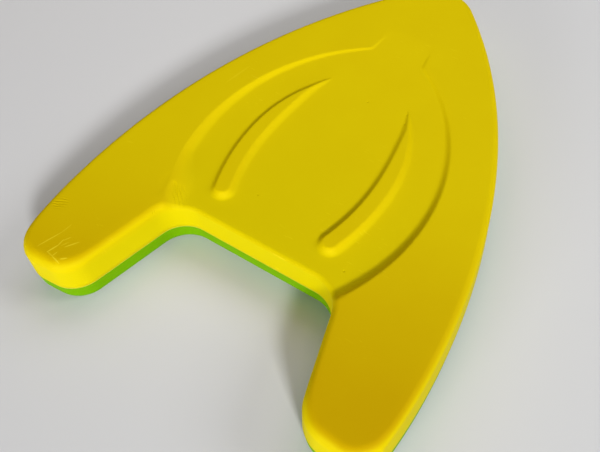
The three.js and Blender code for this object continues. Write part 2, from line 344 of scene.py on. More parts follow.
@dataclass
class BoardPlan:
    """The board's outline seen from above, which both foam layers and the glue share."""

    nose_reach: float = 305.0
    nose_radius: float = 38.0
    nose_arc_share: float = 0.53
    side_nose_handle: float = 205.0
    side_tail_handle: float = 36.0
    side_tail_lean: float = 8.0
    leg_reach: float = 96.5
    leg_outer_half_width: float = 147.0
    leg_end_width: float = 52.0
    leg_end_rake: float = 4.0
    leg_outer_radius: float = 23.0
    leg_inner_radius: float = 26.0
    notch_half_width: float = 69.5
    notch_corner_radius: float = 25.0
    spacing: float = 1.6
    arc_points: int = 60
    side_points: int = 600
    outline: np.ndarray = field(init=False)
    outwards: np.ndarray = field(init=False)
    shift: float = field(init=False)

    def __post_init__(self) -> None:
        """Works out the closed outline, its outward directions and its place in the frame."""
        self.outline = self._evenly(self._closed(self._half()))
        ahead = unit(np.roll(self.outline, -1, axis=0) - np.roll(self.outline, 1, axis=0))
        self.outwards = np.column_stack([ahead[:, 1], -ahead[:, 0]])
        self.shift = CAD_BOX[1][1] / MM - self.nose_reach

    def _corner(
        self, before: np.ndarray, corner: np.ndarray, after: np.ndarray, radius: float
    ) -> np.ndarray:
        """Rounds a corner.

        Args:
            before: A point that the outline comes from.
            corner: The sharp corner.
            after: A point that the outline goes to.
            radius: Radius of the arc.

        Returns:
            Points along the arc.
        """
        to_before = unit(before - corner)
        to_after = unit(after - corner)
        half = math.acos(float(to_before @ to_after)) / 2
        centre = corner + unit(to_before + to_after) * radius / math.sin(half)
        start = corner + to_before * radius / math.tan(half) - centre
        end = corner + to_after * radius / math.tan(half) - centre
        turn = math.atan2(start[0] * end[1] - start[1] * end[0], float(start @ end))
        angles = np.linspace(0, turn, self.arc_points)[:, None]
        side = np.array([-start[1], start[0]])
        return centre + np.cos(angles) * start + np.sin(angles) * side

    def _half(self) -> np.ndarray:
        """Draws the right half of the outline.

        Returns:
            Points from the notch's middle round the leg to the nose.
        """
        middle = np.zeros(2)
        outer = np.array([self.leg_outer_half_width, -self.leg_reach])
        inner_x = self.leg_outer_half_width - self.leg_end_width
        inner = np.array([inner_x, self.leg_end_rake - self.leg_reach])
        notch = np.array([self.notch_half_width, 0.0])
        lean = math.radians(self.side_tail_lean)
        up_side = np.array([math.sin(lean), math.cos(lean)])
        outer_arc = self._corner(inner, outer, outer + up_side * self.nose_reach, self.leg_outer_radius)
        nose_centre = np.array([0.0, self.nose_reach - self.nose_radius])
        nose_end = math.pi / 2 * (1 - self.nose_arc_share)
        nose_angles = np.linspace(nose_end, math.pi / 2, self.arc_points)
        nose = nose_centre + self.nose_radius * np.column_stack([np.cos(nose_angles), np.sin(nose_angles)])
        first, last = outer_arc[-1], nose[0]
        second = first + up_side * self.side_tail_handle
        third = last + np.array([math.sin(nose_end), -math.cos(nose_end)]) * self.side_nose_handle
        t = np.linspace(0, 1, self.side_points)[:, None]
        tail_half = (1 - t) ** 3 * first + 3 * (1 - t) ** 2 * t * second
        side = tail_half + 3 * (1 - t) * t**2 * third + t**3 * last
        notch_arc = self._corner(middle, notch, inner, self.notch_corner_radius)
        inner_arc = self._corner(notch, inner, outer, self.leg_inner_radius)
        return np.vstack([middle, notch_arc, inner_arc, outer_arc, side[1:-1], nose])

    @staticmethod
    def _closed(half: np.ndarray) -> np.ndarray:
        """Closes a right half with its mirror image, running anticlockwise."""
        return np.vstack([half, (half[1:-1] * [-1, 1])[::-1]])

    def _evenly(self, points: np.ndarray) -> np.ndarray:
        """Spaces a closed line's points evenly.

        Args:
            points: The line, whose last point isn't the first one again.

        Returns:
            Points that start at the line's first one.
        """
        loop = np.vstack([points, points[:1]])
        along = np.concatenate([[0], np.cumsum(np.linalg.norm(np.diff(loop, axis=0), axis=1))])
        count = 2 * round(along[-1] / self.spacing / 2)
        places = np.linspace(0, along[-1], count, endpoint=False)
        return np.column_stack([np.interp(places, along, loop[:, axis]) for axis in (0, 1)])

    def ring(self, inset: np.ndarray | float) -> np.ndarray:
        """The outline moved inwards by inset, one value or one for each point."""
        return self.outline - self.outwards * np.reshape(inset, (-1, 1))

    def inside(self, points: np.ndarray, inset: float) -> np.ndarray:
        """Tests which points lie inside the outline.

        Args:
            points: Places in the plan.
            inset: How far inside the outline the border lies.

        Returns:
            True for each point inside the border.
        """
        ring = self.ring(inset)
        found = np.zeros(len(points), dtype=bool)
        for (ax, ay), (bx, by) in zip(ring, np.roll(ring, -1, axis=0)):
            if ay != by:
                crosses = (ay > points[:, 1]) != (by > points[:, 1])
                found ^= crosses & (points[:, 0] < ax + (points[:, 1] - ay) * (bx - ax) / (by - ay))
        return found

    def lattice(self, spacing: float, inset: float) -> np.ndarray:
        """Fills the plan with staggered points.

        Args:
            spacing: Distance between neighbours.
            inset: How far they stay inside the outline.

        Returns:
            The points.
        """
        low, high = self.outline.min(axis=0), self.outline.max(axis=0)
        rows = np.arange(low[1], high[1], spacing * math.sin(math.pi / 3))
        columns = np.arange(-math.ceil(-low[0] / spacing) * spacing, high[0], spacing)
        grid_x, grid_y = np.meshgrid(columns, rows)
        grid_x = grid_x + (np.arange(len(rows)) % 2)[:, None] * spacing / 2
        points = np.column_stack([grid_x.ravel(), grid_y.ravel()])
        return points[self.inside(points, inset)]

    def to_frame(self, points: np.ndarray, z: np.ndarray | float) -> np.ndarray:
        """Plan points at height z above the underside, placed in the frame, in metres."""
        heights = np.broadcast_to(np.asarray(z, dtype=float), len(points))
        return np.column_stack([points[:, 0], points[:, 1] + self.shift, heights]) * MM

    def spot(self, x: float, y: float, z: float = 0.0) -> Vector:
        """One place in the plan, placed in the frame, in metres."""
        return Vector((x, y + self.shift, z)) * MM


@dataclass
class SunkenPanel:
    """The hollow in the upper layer: deepest at the notch, level with the rim at the neck's end."""

    notch_depth: float = 6.5
    arc_radius: float = 156.0
    half_width: float = 93.5
    widest_y: float = 76.0
    neck_half_width: float = 23.0
    neck_end_half_width: float = 20.0
    fade_y: float = 235.0
    wall_run_at_rim: float = 1.5
    wall_run_share: float = 1.5
    wall_power: float = 1.5
    kink_softness: float = 3.0

    @property
    def centre_x(self) -> float:
        """Centre of the right-hand arc, across the board."""
        return self.half_width - self.arc_radius

    @property
    def neck_y(self) -> float:
        """Where the side arcs turn into the neck."""
        reach = self.neck_half_width - self.centre_x
        return self.widest_y + math.sqrt(self.arc_radius**2 - reach**2)

    def wall_gap(self, points: np.ndarray) -> np.ndarray:
        """How far each plan point lies outside the side arcs."""
        across = np.abs(points[:, 0]) - self.centre_x
        return np.hypot(across, points[:, 1] - self.widest_y) - self.arc_radius

    def lip_share(self, points: np.ndarray) -> np.ndarray:
        """How far, 0 to 1, the panel runs out over the notch at each point of the outline."""
        run = self.wall_run_at_rim + self.wall_run_share * self.notch_depth
        return np.clip(0.5 - self.wall_gap(points) / run, 0, 1)

    def near_wall(self, points: np.ndarray, margin: float) -> np.ndarray:
        """Tests which points are near the panel's curved wall.

        Args:
            points: Places in the plan.
            margin: How near counts.

        Returns:
            True for each near point.
        """
        side = (np.abs(self.wall_gap(points)) < margin) & (points[:, 1] < self.neck_y)
        neck = np.abs(points[:, 1] - self.neck_y) < 2 * margin
        return side | (neck & (np.abs(points[:, 0]) < 2 * self.neck_half_width))


@dataclass
class Crescents:
    """The pair of bowed grips on the panel. Each follows an arc from its round end to its point."""

    height: float = 4.2
    tip_height: float = 2.2
    half_width: float = 11.6
    wall_run: float = 6.5
    wall_power: float = 1.5
    end: Pair = (46.8, 27.6)
    tip: Pair = (34.5, 163.5)
    bow: float = 14.5
    widest_share: float = 0.2
    taper_power: float = 3.5
    radius: float = field(init=False)
    centre: np.ndarray = field(init=False)
    start_angle: float = field(init=False)
    sweep: float = field(init=False)

    def __post_init__(self) -> None:
        """Works out the arc that the middle line follows."""
        end, tip = np.array(self.end), np.array(self.tip)
        half_chord = float(np.linalg.norm(tip - end)) / 2
        self.radius = (half_chord**2 + self.bow**2) / (2 * self.bow)
        ahead = unit(tip - end)
        self.centre = (end + tip) / 2 + np.array([ahead[1], -ahead[0]]) * (self.bow - self.radius)
        self.start_angle = math.atan2(*(end - self.centre)[::-1])
        self.sweep = 2 * math.asin(half_chord / self.radius)

    def near(self, points: np.ndarray, margin: float) -> np.ndarray:
        """Tests which points are near a crescent.

        Args:
            points: Places in the plan.
            margin: How far outside its foot counts.

        Returns:
            True for each near point.
        """
        ways = np.abs(points) * [1, 0] + points * [0, 1] - self.centre
        share = (np.arctan2(ways[:, 1], ways[:, 0]) - self.start_angle) / self.sweep
        beyond = (self.half_width + margin) / (self.sweep * self.radius)
        across = np.abs(np.linalg.norm(ways, axis=1) - self.radius)
        return (across < self.half_width + margin) & (share > -beyond) & (share < 1 + beyond)


@dataclass(frozen=True)
class LineMark:
    """A mark that runs straight between two points of the plan."""

    start: Pair
    end: Pair
    width: float

    def inputs(self, flat: Socket, plan: BoardPlan) -> dict[str, object]:
        """What its node group is given."""
        ends = {"Start": plan.spot(*self.start), "End": plan.spot(*self.end)}
        return {"Place": flat, **ends, "Width": self.width * MM}


@dataclass(frozen=True)
class Crease(LineMark):
    """A soft valley pressed into the skin."""

    depth: float


@dataclass(frozen=True)
class Scratch(LineMark):
    """A thin pale line in the skin."""

    light: float


@dataclass(frozen=True)
class SlackWall:
    """A stretch of the panel's wall that use has pressed out, so that it comes down further inwards."""

    centre: Pair
    reach: float
    extra_run: float


@dataclass(frozen=True)
class WrinklePatch:
    """A patch of fine folds that run side by side. Turn is the way that they run, in degrees from +X."""

    centre: Triple
    turn: float
    half_length: float
    half_width: float
    pitch: float
    depth: float

    def inputs(self, place: Socket, plan: BoardPlan) -> dict[str, object]:
        """Gathers what its node group is given.

        Args:
            place: Position on the skin.
            plan: The plan that its centre is in.

        Returns:
            Input name to value.
        """
        sizes = {"Half Length": self.half_length, "Half Width": self.half_width, "Pitch": self.pitch}
        centre, turn = plan.spot(*self.centre), math.radians(self.turn)
        return {"Place": place, "Centre": centre, "Turn": turn, **metres(sizes)}


@dataclass(frozen=True)
class Waves:
    """Slow waves in a moulded skin, as moulded foam never comes out quite flat."""

    height: float = 0.12
    length: float = 45.0

    def lengths(self) -> dict[str, float]:
        """The tree inputs that the waves fill, in millimetres."""
        return {"Wave Height": self.height, "Wave Length": self.length}


def line_group(kind: TreeKind, end_width_share: float = 0.3) -> Tree:
    """Builds the node group that fades from 1 on a line between two points to 0 away from it.

    Args:
        kind: Geometry or shader tree.
        end_width_share: How wide the mark is at its ends, as a share of its width in the middle.

    Returns:
        The group.
    """
    inputs = {**dict.fromkeys(["Place", "Start", "End"], Kind.VECTOR), "Width": Kind.NUMBER}
    w, given = start_group(f"Line Mark {kind.name.title()}", kind, inputs, {"Mark": Kind.NUMBER})
    along = w.vector("SUBTRACT", given["End"], given["Start"])
    reach = w.vector("SUBTRACT", given["Place"], given["Start"])
    square = w.vector("DOT_PRODUCT", along, along)
    share = w.math("DIVIDE", w.vector("DOT_PRODUCT", reach, along), square, clamp=True)
    gap = w.vector("LENGTH", w.vector("SUBTRACT", reach, w.scaled(along, share)))
    bulge = w.math("MULTIPLY", w.math("MULTIPLY", share, w.math("SUBTRACT", 1.0, share)), 4.0)
    width_share = w.math("MULTIPLY_ADD", bulge, 1 - end_width_share, end_width_share)
    return w.put_out({"Mark": w.ease(gap, 0.0, w.math("MULTIPLY", given["Width"], width_share), 1.0, 0.0)})


@dataclass
class ReliefTree:
    """The Geometry Nodes tree that presses the relief into the upper layer's blank."""

    plan: BoardPlan
    panel: SunkenPanel
    crescents: Crescents
    creases: tuple[Crease, ...]
    slack: SlackWall
    waves: Waves
    joint: float
    thickness: float
    rise_from_share: float = 0.5
    tree: Tree = field(init=False)
    w: Wiring = field(init=False)
    given: Sockets = field(init=False)
    flat: Socket = field(init=False)
    side_x: Socket = field(init=False)
    y: Socket = field(init=False)

    def __post_init__(self) -> None:
        """Builds the tree."""
        names = dict.fromkeys([*self._lengths(), *self._numbers()], Kind.NUMBER)
        inputs = {"Blank": Kind.SHAPE, **names, "Skin": Kind.MATERIAL}
        self.w, self.given = start_group("Moulded Relief", TreeKind.GEOMETRY, inputs, {"Board": Kind.SHAPE})
        w, given = self.w, self.given
        place = w.node("GeometryNodeInputPosition").outputs[0]
        self.flat = w.flat(place)
        x, y, z = w.node("ShaderNodeSeparateXYZ", {0: place}).outputs
        self.side_x = w.math("ABSOLUTE", x)
        self.y = w.math("SUBTRACT", y, given["Notch Y"])
        above = w.math("SUBTRACT", z, given["Joint Height"])
        share_up = w.math("DIVIDE", above, given["Thickness"], clamp=True)
        sunk = w.math("SUBTRACT", self._crease_lift(), self._panel_drop())
        raised = w.math("MULTIPLY", self._crescent_rise(), w.ease(share_up, self.rise_from_share, 1.0))
        lift = w.math("MULTIPLY_ADD", share_up, sunk, raised)
        offset = w.node("ShaderNodeCombineXYZ", {"Z": lift}).outputs[0]
        pressed = w.node("GeometryNodeSetPosition", {"Geometry": given["Blank"], "Offset": offset})
        self.tree = w.put_out({"Board": finished_skin(w, given, pressed.outputs[0])})

    def _lengths(self) -> dict[str, float]:
        """Names the tree's inputs that are lengths.

        Returns:
            Input name to millimetres.
        """
        panel, crescents = self.panel, self.crescents
        return {
            "Joint Height": self.joint,
            "Thickness": self.thickness,
            "Notch Y": self.plan.shift,
            "Panel Depth": panel.notch_depth,
            "Panel Fade": panel.fade_y,
            "Panel Radius": panel.arc_radius,
            "Panel Half Width": panel.half_width,
            "Panel Widest Y": panel.widest_y,
            "Neck Y": panel.neck_y,
            "Neck Half Width": panel.neck_half_width,
            "Neck End Half Width": panel.neck_end_half_width,
            "Wall Run At Rim": panel.wall_run_at_rim,
            "Kink Softness": panel.kink_softness,
            "Slack Reach": self.slack.reach,
            "Slack Run": self.slack.extra_run,
            "Crescent Height": crescents.height,
            "Crescent Tip Height": crescents.tip_height,
            "Crescent Half Width": crescents.half_width,
            "Crescent Wall Run": crescents.wall_run,
            "Crescent Radius": crescents.radius,
            "Crescent Centre X": crescents.centre[0],
            "Crescent Centre Y": crescents.centre[1],
            **self.waves.lengths(),
        }

    def _numbers(self) -> dict[str, float]:
        """Names the tree's inputs that are angles, shares and powers.

        Returns:
            Input name to value.
        """
        panel, crescents = self.panel, self.crescents
        return {
            "Wall Run Share": panel.wall_run_share,
            "Wall Power": panel.wall_power,
            "Crescent Wall Power": crescents.wall_power,
            "Crescent Start": crescents.start_angle,
            "Crescent Sweep": crescents.sweep,
            "Widest Share": crescents.widest_share,
            "Taper Power": crescents.taper_power,
        }

    def values(self, skin: Material) -> dict[str, object]:
        """The tree's inputs, by name, with the layer's material."""
        return {**metres(self._lengths()), **self._numbers(), "Skin": skin}

    def _panel_drop(self) -> Socket:
        """Works out the sunken panel.

        Returns:
            How far it lies under the rim at each place.
        """
        w, given = self.w, self.given
        ramp = w.math("DIVIDE", w.math("SUBTRACT", given["Panel Fade"], self.y), given["Panel Fade"])
        depth = w.math("MULTIPLY", given["Panel Depth"], w.math("MAXIMUM", ramp, 0.0))
        centre_x = w.math("SUBTRACT", given["Panel Half Width"], given["Panel Radius"])
        arc_x = w.math("SUBTRACT", self.side_x, centre_x)
        arc_y = w.math("SUBTRACT", self.y, given["Panel Widest Y"])
        arc_gap = w.math("SUBTRACT", w.span(arc_x, arc_y), given["Panel Radius"])
        narrowing = w.math("SUBTRACT", given["Neck End Half Width"], given["Neck Half Width"])
        slope = w.math("DIVIDE", narrowing, w.math("SUBTRACT", given["Panel Fade"], given["Neck Y"]))
        up_neck = w.math("SUBTRACT", self.y, given["Neck Y"])
        neck_x = w.math("MULTIPLY_ADD", slope, up_neck, given["Neck Half Width"])
        neck_gap = w.math("SUBTRACT", self.side_x, neck_x)
        gap = w.math("SMOOTH_MIN", arc_gap, neck_gap, given["Kink Softness"])
        run = w.math("MULTIPLY_ADD", depth, given["Wall Run Share"], given["Wall Run At Rim"])
        away = w.vector("DISTANCE", self.flat, self.plan.spot(*self.slack.centre))
        spread = w.ease(away, 0.0, given["Slack Reach"], given["Slack Run"], 0.0)
        # The wall's middle moves inwards by half of what the run gains, so its top edge stays in place.
        gap = w.math("MULTIPLY_ADD", spread, 0.5, gap)
        run = w.math("ADD", run, spread)
        up_wall = w.math("ADD", w.math("DIVIDE", gap, run), 0.5, clamp=True)
        sunken = w.ease(w.math("POWER", up_wall, given["Wall Power"]), 0.0, 1.0, 1.0, 0.0)
        return w.math("MULTIPLY", depth, sunken)

    def _crescent_rise(self) -> Socket:
        """Works out the crescent grips.

        Returns:
            How far they stand above the panel at each place.
        """
        w, given = self.w, self.given
        out_x = w.math("SUBTRACT", self.side_x, given["Crescent Centre X"])
        out_y = w.math("SUBTRACT", self.y, given["Crescent Centre Y"])
        angle = w.math("ARCTAN2", out_y, out_x)
        turned = w.math("SUBTRACT", angle, given["Crescent Start"])
        share = w.math("DIVIDE", turned, given["Crescent Sweep"])
        across = w.math("SUBTRACT", w.span(out_x, out_y), given["Crescent Radius"])
        length = w.math("MULTIPLY", given["Crescent Sweep"], given["Crescent Radius"])
        before = w.math("MAXIMUM", w.math("MULTIPLY", share, -1.0), 0.0)
        after = w.math("MAXIMUM", w.math("SUBTRACT", share, 1.0), 0.0)
        past = w.math("MULTIPLY", w.math("ADD", before, after), length)
        taper = w.math("SUBTRACT", share, given["Widest Share"])
        taper = w.math("DIVIDE", taper, w.math("SUBTRACT", 1.0, given["Widest Share"]), clamp=True)
        taper = w.math("SUBTRACT", 1.0, w.math("POWER", taper, given["Taper Power"]))
        half_width = w.math("MULTIPLY", given["Crescent Half Width"], taper)
        inward = w.math("SUBTRACT", half_width, w.span(across, past))
        flank = w.math("MAXIMUM", w.math("MINIMUM", given["Crescent Wall Run"], half_width), TINY)
        up_wall = w.math("DIVIDE", inward, flank, clamp=True)
        shape = w.ease(w.math("POWER", up_wall, given["Crescent Wall Power"]), 0.0, 1.0)
        along = w.math("MULTIPLY", share, 1.0, clamp=True)
        fall = w.math("SUBTRACT", given["Crescent Tip Height"], given["Crescent Height"])
        height = w.math("MULTIPLY_ADD", fall, along, given["Crescent Height"])
        thinning = w.math("DIVIDE", half_width, given["Crescent Wall Run"], clamp=True)
        return w.math("MULTIPLY", w.math("MULTIPLY", height, thinning), shape)

    def _crease_lift(self) -> Socket:
        """Works out the soft valleys.

        Returns:
            The sum of their lifts at each place, which is below zero.
        """
        group = line_group(TreeKind.GEOMETRY)
        total: Socket | float = 0.0
        for crease in self.creases:
            line = self.w.node("GeometryNodeGroup", crease.inputs(self.flat, self.plan), node_tree=group)
            total = self.w.math("MULTIPLY_ADD", line.outputs["Mark"], -crease.depth * MM, total)
        return total


def dressed(w: Wiring, shape: Socket, material: Socket) -> Socket:
    """Ends a tree: its instances are made real and given their material."""
    real = w.node("GeometryNodeRealizeInstances", {"Geometry": shape}).outputs[0]
    return w.node("GeometryNodeSetMaterial", {"Geometry": real, "Material": material}).outputs[0]


def finished_skin(w: Wiring, given: Sockets, shape: Socket) -> Socket:
    """Adds slow waves that only press inwards, smooth shading and the skin's material.

    Args:
        w: The tree's wiring.
        given: The tree's inputs, with Wave Height, Wave Length and Skin.
        shape: The geometry.

    Returns:
        The finished geometry.
    """
    noise = w.noise(w.node("GeometryNodeInputPosition").outputs[0], given["Wave Length"])
    inwards = w.math("MULTIPLY", w.math("MULTIPLY", noise, -1.0), given["Wave Height"])
    offset = w.scaled(w.node("GeometryNodeInputNormal").outputs[0], inwards)
    waved = w.node("GeometryNodeSetPosition", {"Geometry": shape, "Offset": offset}).outputs[0]
    smooth = w.node("GeometryNodeSetShadeSmooth", {"Geometry": waved, "Shade Smooth": True}).outputs[0]
    return dressed(w, smooth, given["Skin"])


def skin_tree() -> Tree:
    """Builds the Geometry Nodes tree of a plain foam skin.

    Returns:
        The tree.
    """
    lengths = dict.fromkeys(Waves().lengths(), Kind.NUMBER)
    inputs = {"Blank": Kind.SHAPE, **lengths, "Skin": Kind.MATERIAL}
    w, given = start_group("Plain Skin", TreeKind.GEOMETRY, inputs, {"Board": Kind.SHAPE})
    return w.put_out({"Board": finished_skin(w, given, given["Blank"])})


def bead_tree() -> Tree:
    """Builds the Geometry Nodes tree that runs an uneven bead of glue along a closed path.

    Returns:
        The tree.
    """
    numbers = dict.fromkeys(["Radius", "Unevenness", "Lump Length", "Spacing"], Kind.NUMBER)
    inputs = {"Path": Kind.SHAPE, **numbers, "Sides": Kind.WHOLE, "Glue": Kind.MATERIAL}
    w, given = start_group("Glue Bead", TreeKind.GEOMETRY, inputs, {"Bead": Kind.SHAPE})
    curve = w.node("GeometryNodeMeshToCurve", {0: given["Path"]}).outputs[0]
    even = w.node("GeometryNodeResampleCurve", {"Curve": curve, "Length": given["Spacing"]}, mode="LENGTH")
    noise = w.noise(w.node("GeometryNodeInputPosition").outputs[0], given["Lump Length"])
    swell = w.math("MULTIPLY_ADD", w.math("SUBTRACT", noise, 0.5), given["Unevenness"], 1.0)
    circle = w.node("GeometryNodeCurvePrimitiveCircle", {"Resolution": given["Sides"], "Radius": 1.0})
    thickness = w.math("MULTIPLY", given["Radius"], swell)
    inputs = {"Curve": even.outputs[0], "Profile Curve": circle.outputs[0], "Scale": thickness}
    tube = w.node("GeometryNodeCurveToMesh", inputs).outputs[0]
    return w.put_out({"Bead": dressed(w, tube, given["Glue"])})


def settle(piece: Piece, tree: Tree, values: dict[str, object]) -> None:
    """Runs a Geometry Nodes tree on a piece and keeps the result as its plain mesh.

    Args:
        piece: The piece, already in the scene.
        tree: The tree to run.
        values: Input name to value.
    """
    modifier = piece.modifiers.new(tree.name, "NODES")
    modifier.node_group = tree
    for item in tree.interface.items_tree:
        if item.item_type == "SOCKET" and item.in_out == "INPUT" and item.name in values:
            modifier[item.identifier] = values[item.name]
    depsgraph = bpy.context.evaluated_depsgraph_get()
    mesh = bpy.data.meshes.new_from_object(piece.evaluated_get(depsgraph), depsgraph=depsgraph)
    piece.modifiers.remove(modifier)
    mesh.name = piece.name
    piece.data = mesh


@dataclass
class FoamBlank:
    """A moulded foam layer before its relief: a flat joint face, drafted sides and a rounded far edge."""

    name: str
    plan: BoardPlan
    facing: Facing
    joint: float
    thickness: float
    edge_radii: np.ndarray
    draft: float = 3.0
    joint_bevel: float = 0.25
    clearance: float = 0.1
    wall_rows: int = 7
    edge_rows: int = 14
    joint_spacing: float = 9.0

    def profile(self) -> list[tuple[np.ndarray, np.ndarray]]:
        """Draws the side from the joint to the flat face.

        Returns:
            Rows of inset and height above the joint, each with a value for every outline point.
        """
        lean = math.tan(math.radians(self.draft))
        radii = self.edge_radii
        wall_top = self.thickness - radii
        rows = [(np.full_like(radii, self.joint_bevel), np.zeros_like(radii))]
        for share in np.linspace(0, 1, self.wall_rows)[:-1]:
            height = self.joint_bevel + (wall_top - self.joint_bevel) * share
            rows.append((height * lean, height))
        for angle in np.linspace(0, math.pi / 2, self.edge_rows):
            inset = wall_top * lean + radii * (1 - math.cos(angle))
            rows.append((inset, wall_top + radii * math.sin(angle)))
        return [(inset + self.clearance, height) for inset, height in rows]

    def face_inset(self) -> float:
        """How far inside the outline the flat face begins, where it begins furthest in."""
        return float(self.profile()[-1][0].max())

    def _cap(
        self, inset: np.ndarray, extra: np.ndarray, ring_at: int, extra_at: int
    ) -> tuple[np.ndarray, list[tuple[int, ...]]]:
        """Fills a flat face.

        Args:
            inset: How far its border lies inside the outline, by outline point.
            extra: Points inside the border.
            ring_at: Index of the border's first vertex in the whole mesh.
            extra_at: Index of the first extra vertex in the whole mesh.

        Returns:
            The extra points that the mesh needs, and triangles that look up.
        """
        border = self.plan.ring(inset)
        count = len(border)
        points = [Vector(p) for p in np.vstack([border, extra])]
        made = delaunay_2d_cdt(points, [], [list(range(count))], 1, TINY)
        places = [ring_at + i if i < count else extra_at + i - count for i in range(len(made[0]))]
        triangles = [tuple(places[i] for i in face) for face in made[2]]
        return np.array([tuple(p) for p in made[0]])[count:], triangles

    def build(self, face_points: np.ndarray) -> Piece:
        """Makes the blank as a closed mesh.

        Args:
            face_points: Plan points that the moulded face is meshed with.

        Returns:
            The new object, linked to the scene.
        """
        plan, side = self.plan, self.facing.value
        rows = self.profile()
        layers = [plan.to_frame(plan.ring(inset), self.joint + side * height) for inset, height in rows]
        count = len(plan.outline)
        top = (len(rows) - 1) * count
        face, face_triangles = self._cap(rows[-1][0], face_points, top, top + count)
        coarse = plan.lattice(self.joint_spacing, self.joint_spacing / 2)
        joint, joint_triangles = self._cap(rows[0][0], coarse, 0, top + count + len(face))
        far = plan.to_frame(face, self.joint + side * self.thickness)
        vertices = np.vstack([*layers, far, plan.to_frame(joint, self.joint)])
        faces = face_triangles + [triangle[::-1] for triangle in joint_triangles]
        for row in range(len(rows) - 1):
            for i in range(count):
                low, low_next = row * count + i, row * count + (i + 1) % count
                faces.append((low, low_next, low_next + count, low + count))
        if self.facing is Facing.DOWN:
            faces = [corners[::-1] for corners in faces]
        piece = add_mesh(self.name, vertices.tolist(), [], faces)
        piece.data.validate()
        return piece


@dataclass(frozen=True)
class FoamFinish:
    """Colours and surface of one foam's moulded skin.

    The flats turn to the deep colour along deepening_way: painted shade, for light that falls off towards
    the legs.
    The sides have a colour of their own, more lemon than the flats: the split is painted light too, for the
    warmer light on the flats. Each pair says where a change starts and where it is full: the tops are
    heights above the underside, and the span is a way along deepening_way.
    """

    name: str
    skin: Colour
    deep: Colour
    side: Colour
    worn: Colour
    side_top: Pair = (35.0, 46.6)
    deepening: float = 0.8
    deepening_way: Triple = (0.3, -1.0, 0.0)
    deepening_span: Pair = (15.0, 250.0)
    deepening_top: Pair = (44.0, 46.9)
    mottling: float = 0.2
    roughness: float = 0.52
    mottle_roughness: float = 0.08
    worn_roughness: float = 0.2
    specular: float = 0.025
    grain_size: float = 1.1
    grain_height: float = 0.02
    pore_size: float = 0.5
    mottle_size: float = 34.0
    scuff_height: float = 0.013

    def material(self, groups: "SkinGroups", marks: "SkinMarks", plan: BoardPlan) -> Material:
        """Builds the finish as a material.

        Args:
            groups: The shared shader groups.
            marks: Scratches, wrinkles and pits.
            plan: The plan that the marks are in.

        Returns:
            The material.
        """
        made, w, place = start_material(self.name)
        sizes = metres({
            "Grain Size": self.grain_size,
            "Pore Size": self.pore_size,
            "Mottle Size": self.mottle_size,
        })
        grain = w.node("ShaderNodeGroup", {"Place": place, **sizes}, node_tree=groups.grain).outputs
        scuff = w.node("ShaderNodeGroup", {"Place": place}, node_tree=groups.wear).outputs["Scuff"]
        height = w.math("MULTIPLY", grain["Height"], self.grain_height)
        height = w.math("MULTIPLY_ADD", scuff, -self.scuff_height, height)
        worn = marks.paint(w, groups, place, plan, scuff)
        height = marks.emboss(w, groups, place, plan, height)
        bump = w.node("ShaderNodeBump", {"Strength": 1.0, "Distance": MM, "Height": height})
        rough = w.math("MULTIPLY_ADD", grain["Mottle"], self.mottle_roughness, self.roughness)
        w.surface({
            "Base Color": w.mix_colour(worn, self._colour(w, place, grain["Mottle"]), self.worn),
            "Roughness": w.math("MULTIPLY_ADD", worn, self.worn_roughness, rough),
            "Specular IOR Level": self.specular,
            "Normal": bump.outputs["Normal"],
        })
        return made

    def _colour(self, w: Wiring, place: Socket, mottle: Socket) -> Socket:
        """Colours the skin with painted light: the sides and edges keep a colour of their own, and painted
        shade deepens the flats towards the legs.

        Args:
            w: The material's wiring.
            place: Position on the skin.
            mottle: Slow unevenness.

        Returns:
            The colour before any wear.
        """

        def rise(value: Socket, span: Pair) -> Socket:
            """Goes from 0 to 1 over a span of lengths."""
            return w.ease(value, span[0] * MM, span[1] * MM)

        back = w.vector("DOT_PRODUCT", place, self.deepening_way)
        above = w.node("ShaderNodeSeparateXYZ", {0: place}).outputs["Z"]
        # Painted shade: the flats darken towards the legs, where the light falls off.
        painted_falloff_shade = w.math("MULTIPLY", rise(above, self.deepening_top), rise(back, self.deepening_span))
        depth = w.math("MULTIPLY_ADD", painted_falloff_shade, self.deepening, w.math("MULTIPLY", mottle, self.mottling))
        top_colour = w.mix_colour(depth, self.skin, self.deep)
        # The sides take their own colour; its split from the flats is painted light.
        return w.mix_colour(rise(above, self.side_top), self.side, top_colour)


@dataclass(frozen=True)
class SkinMarks:
    """What handling has left in one layer's skin."""

    scratches: tuple[Scratch, ...] = ()
    wrinkles: tuple[WrinklePatch, ...] = ()
    pits: tuple[Pair, ...] = ()
    pit_width: float = 1.3
    pit_depth: float = 0.4

    def paint(
        self, w: Wiring, groups: "SkinGroups", place: Socket, plan: BoardPlan, worn: Socket
    ) -> Socket:
        """Adds the scratches to a mask of wear.

        Args:
            w: The material's wiring.
            groups: The shared shader groups.
            place: Position on the skin.
            plan: The plan that the marks are in.
            worn: The mask so far.

        Returns:
            The mask with the scratches.
        """
        flat = w.flat(place)
        for scratch in self.scratches:
            line = w.node("ShaderNodeGroup", scratch.inputs(flat, plan), node_tree=groups.line)
            worn = w.math("MAXIMUM", worn, w.math("MULTIPLY", line.outputs["Mark"], scratch.light))
        return worn

    def emboss(
        self, w: Wiring, groups: "SkinGroups", place: Socket, plan: BoardPlan, height: Socket
    ) -> Socket:
        """Presses the wrinkles and pits into a height.

        Args:
            w: The material's wiring.
            groups: The shared shader groups.
            place: Position on the skin.
            plan: The plan that the marks are in.
            height: The height so far, in millimetres.

        Returns:
            The height with the marks.
        """
        for patch in self.wrinkles:
            fold = w.node("ShaderNodeGroup", patch.inputs(place, plan), node_tree=groups.wrinkle)
            height = w.math("MULTIPLY_ADD", fold.outputs["Fold"], -patch.depth, height)
        flat = w.flat(place)
        for pit in self.pits:
            gap = w.vector("DISTANCE", flat, plan.spot(*pit))
            hollow = w.ease(gap, 0.0, self.pit_width * MM, 1.0, 0.0)
            height = w.math("MULTIPLY_ADD", hollow, -self.pit_depth, height)
        return height


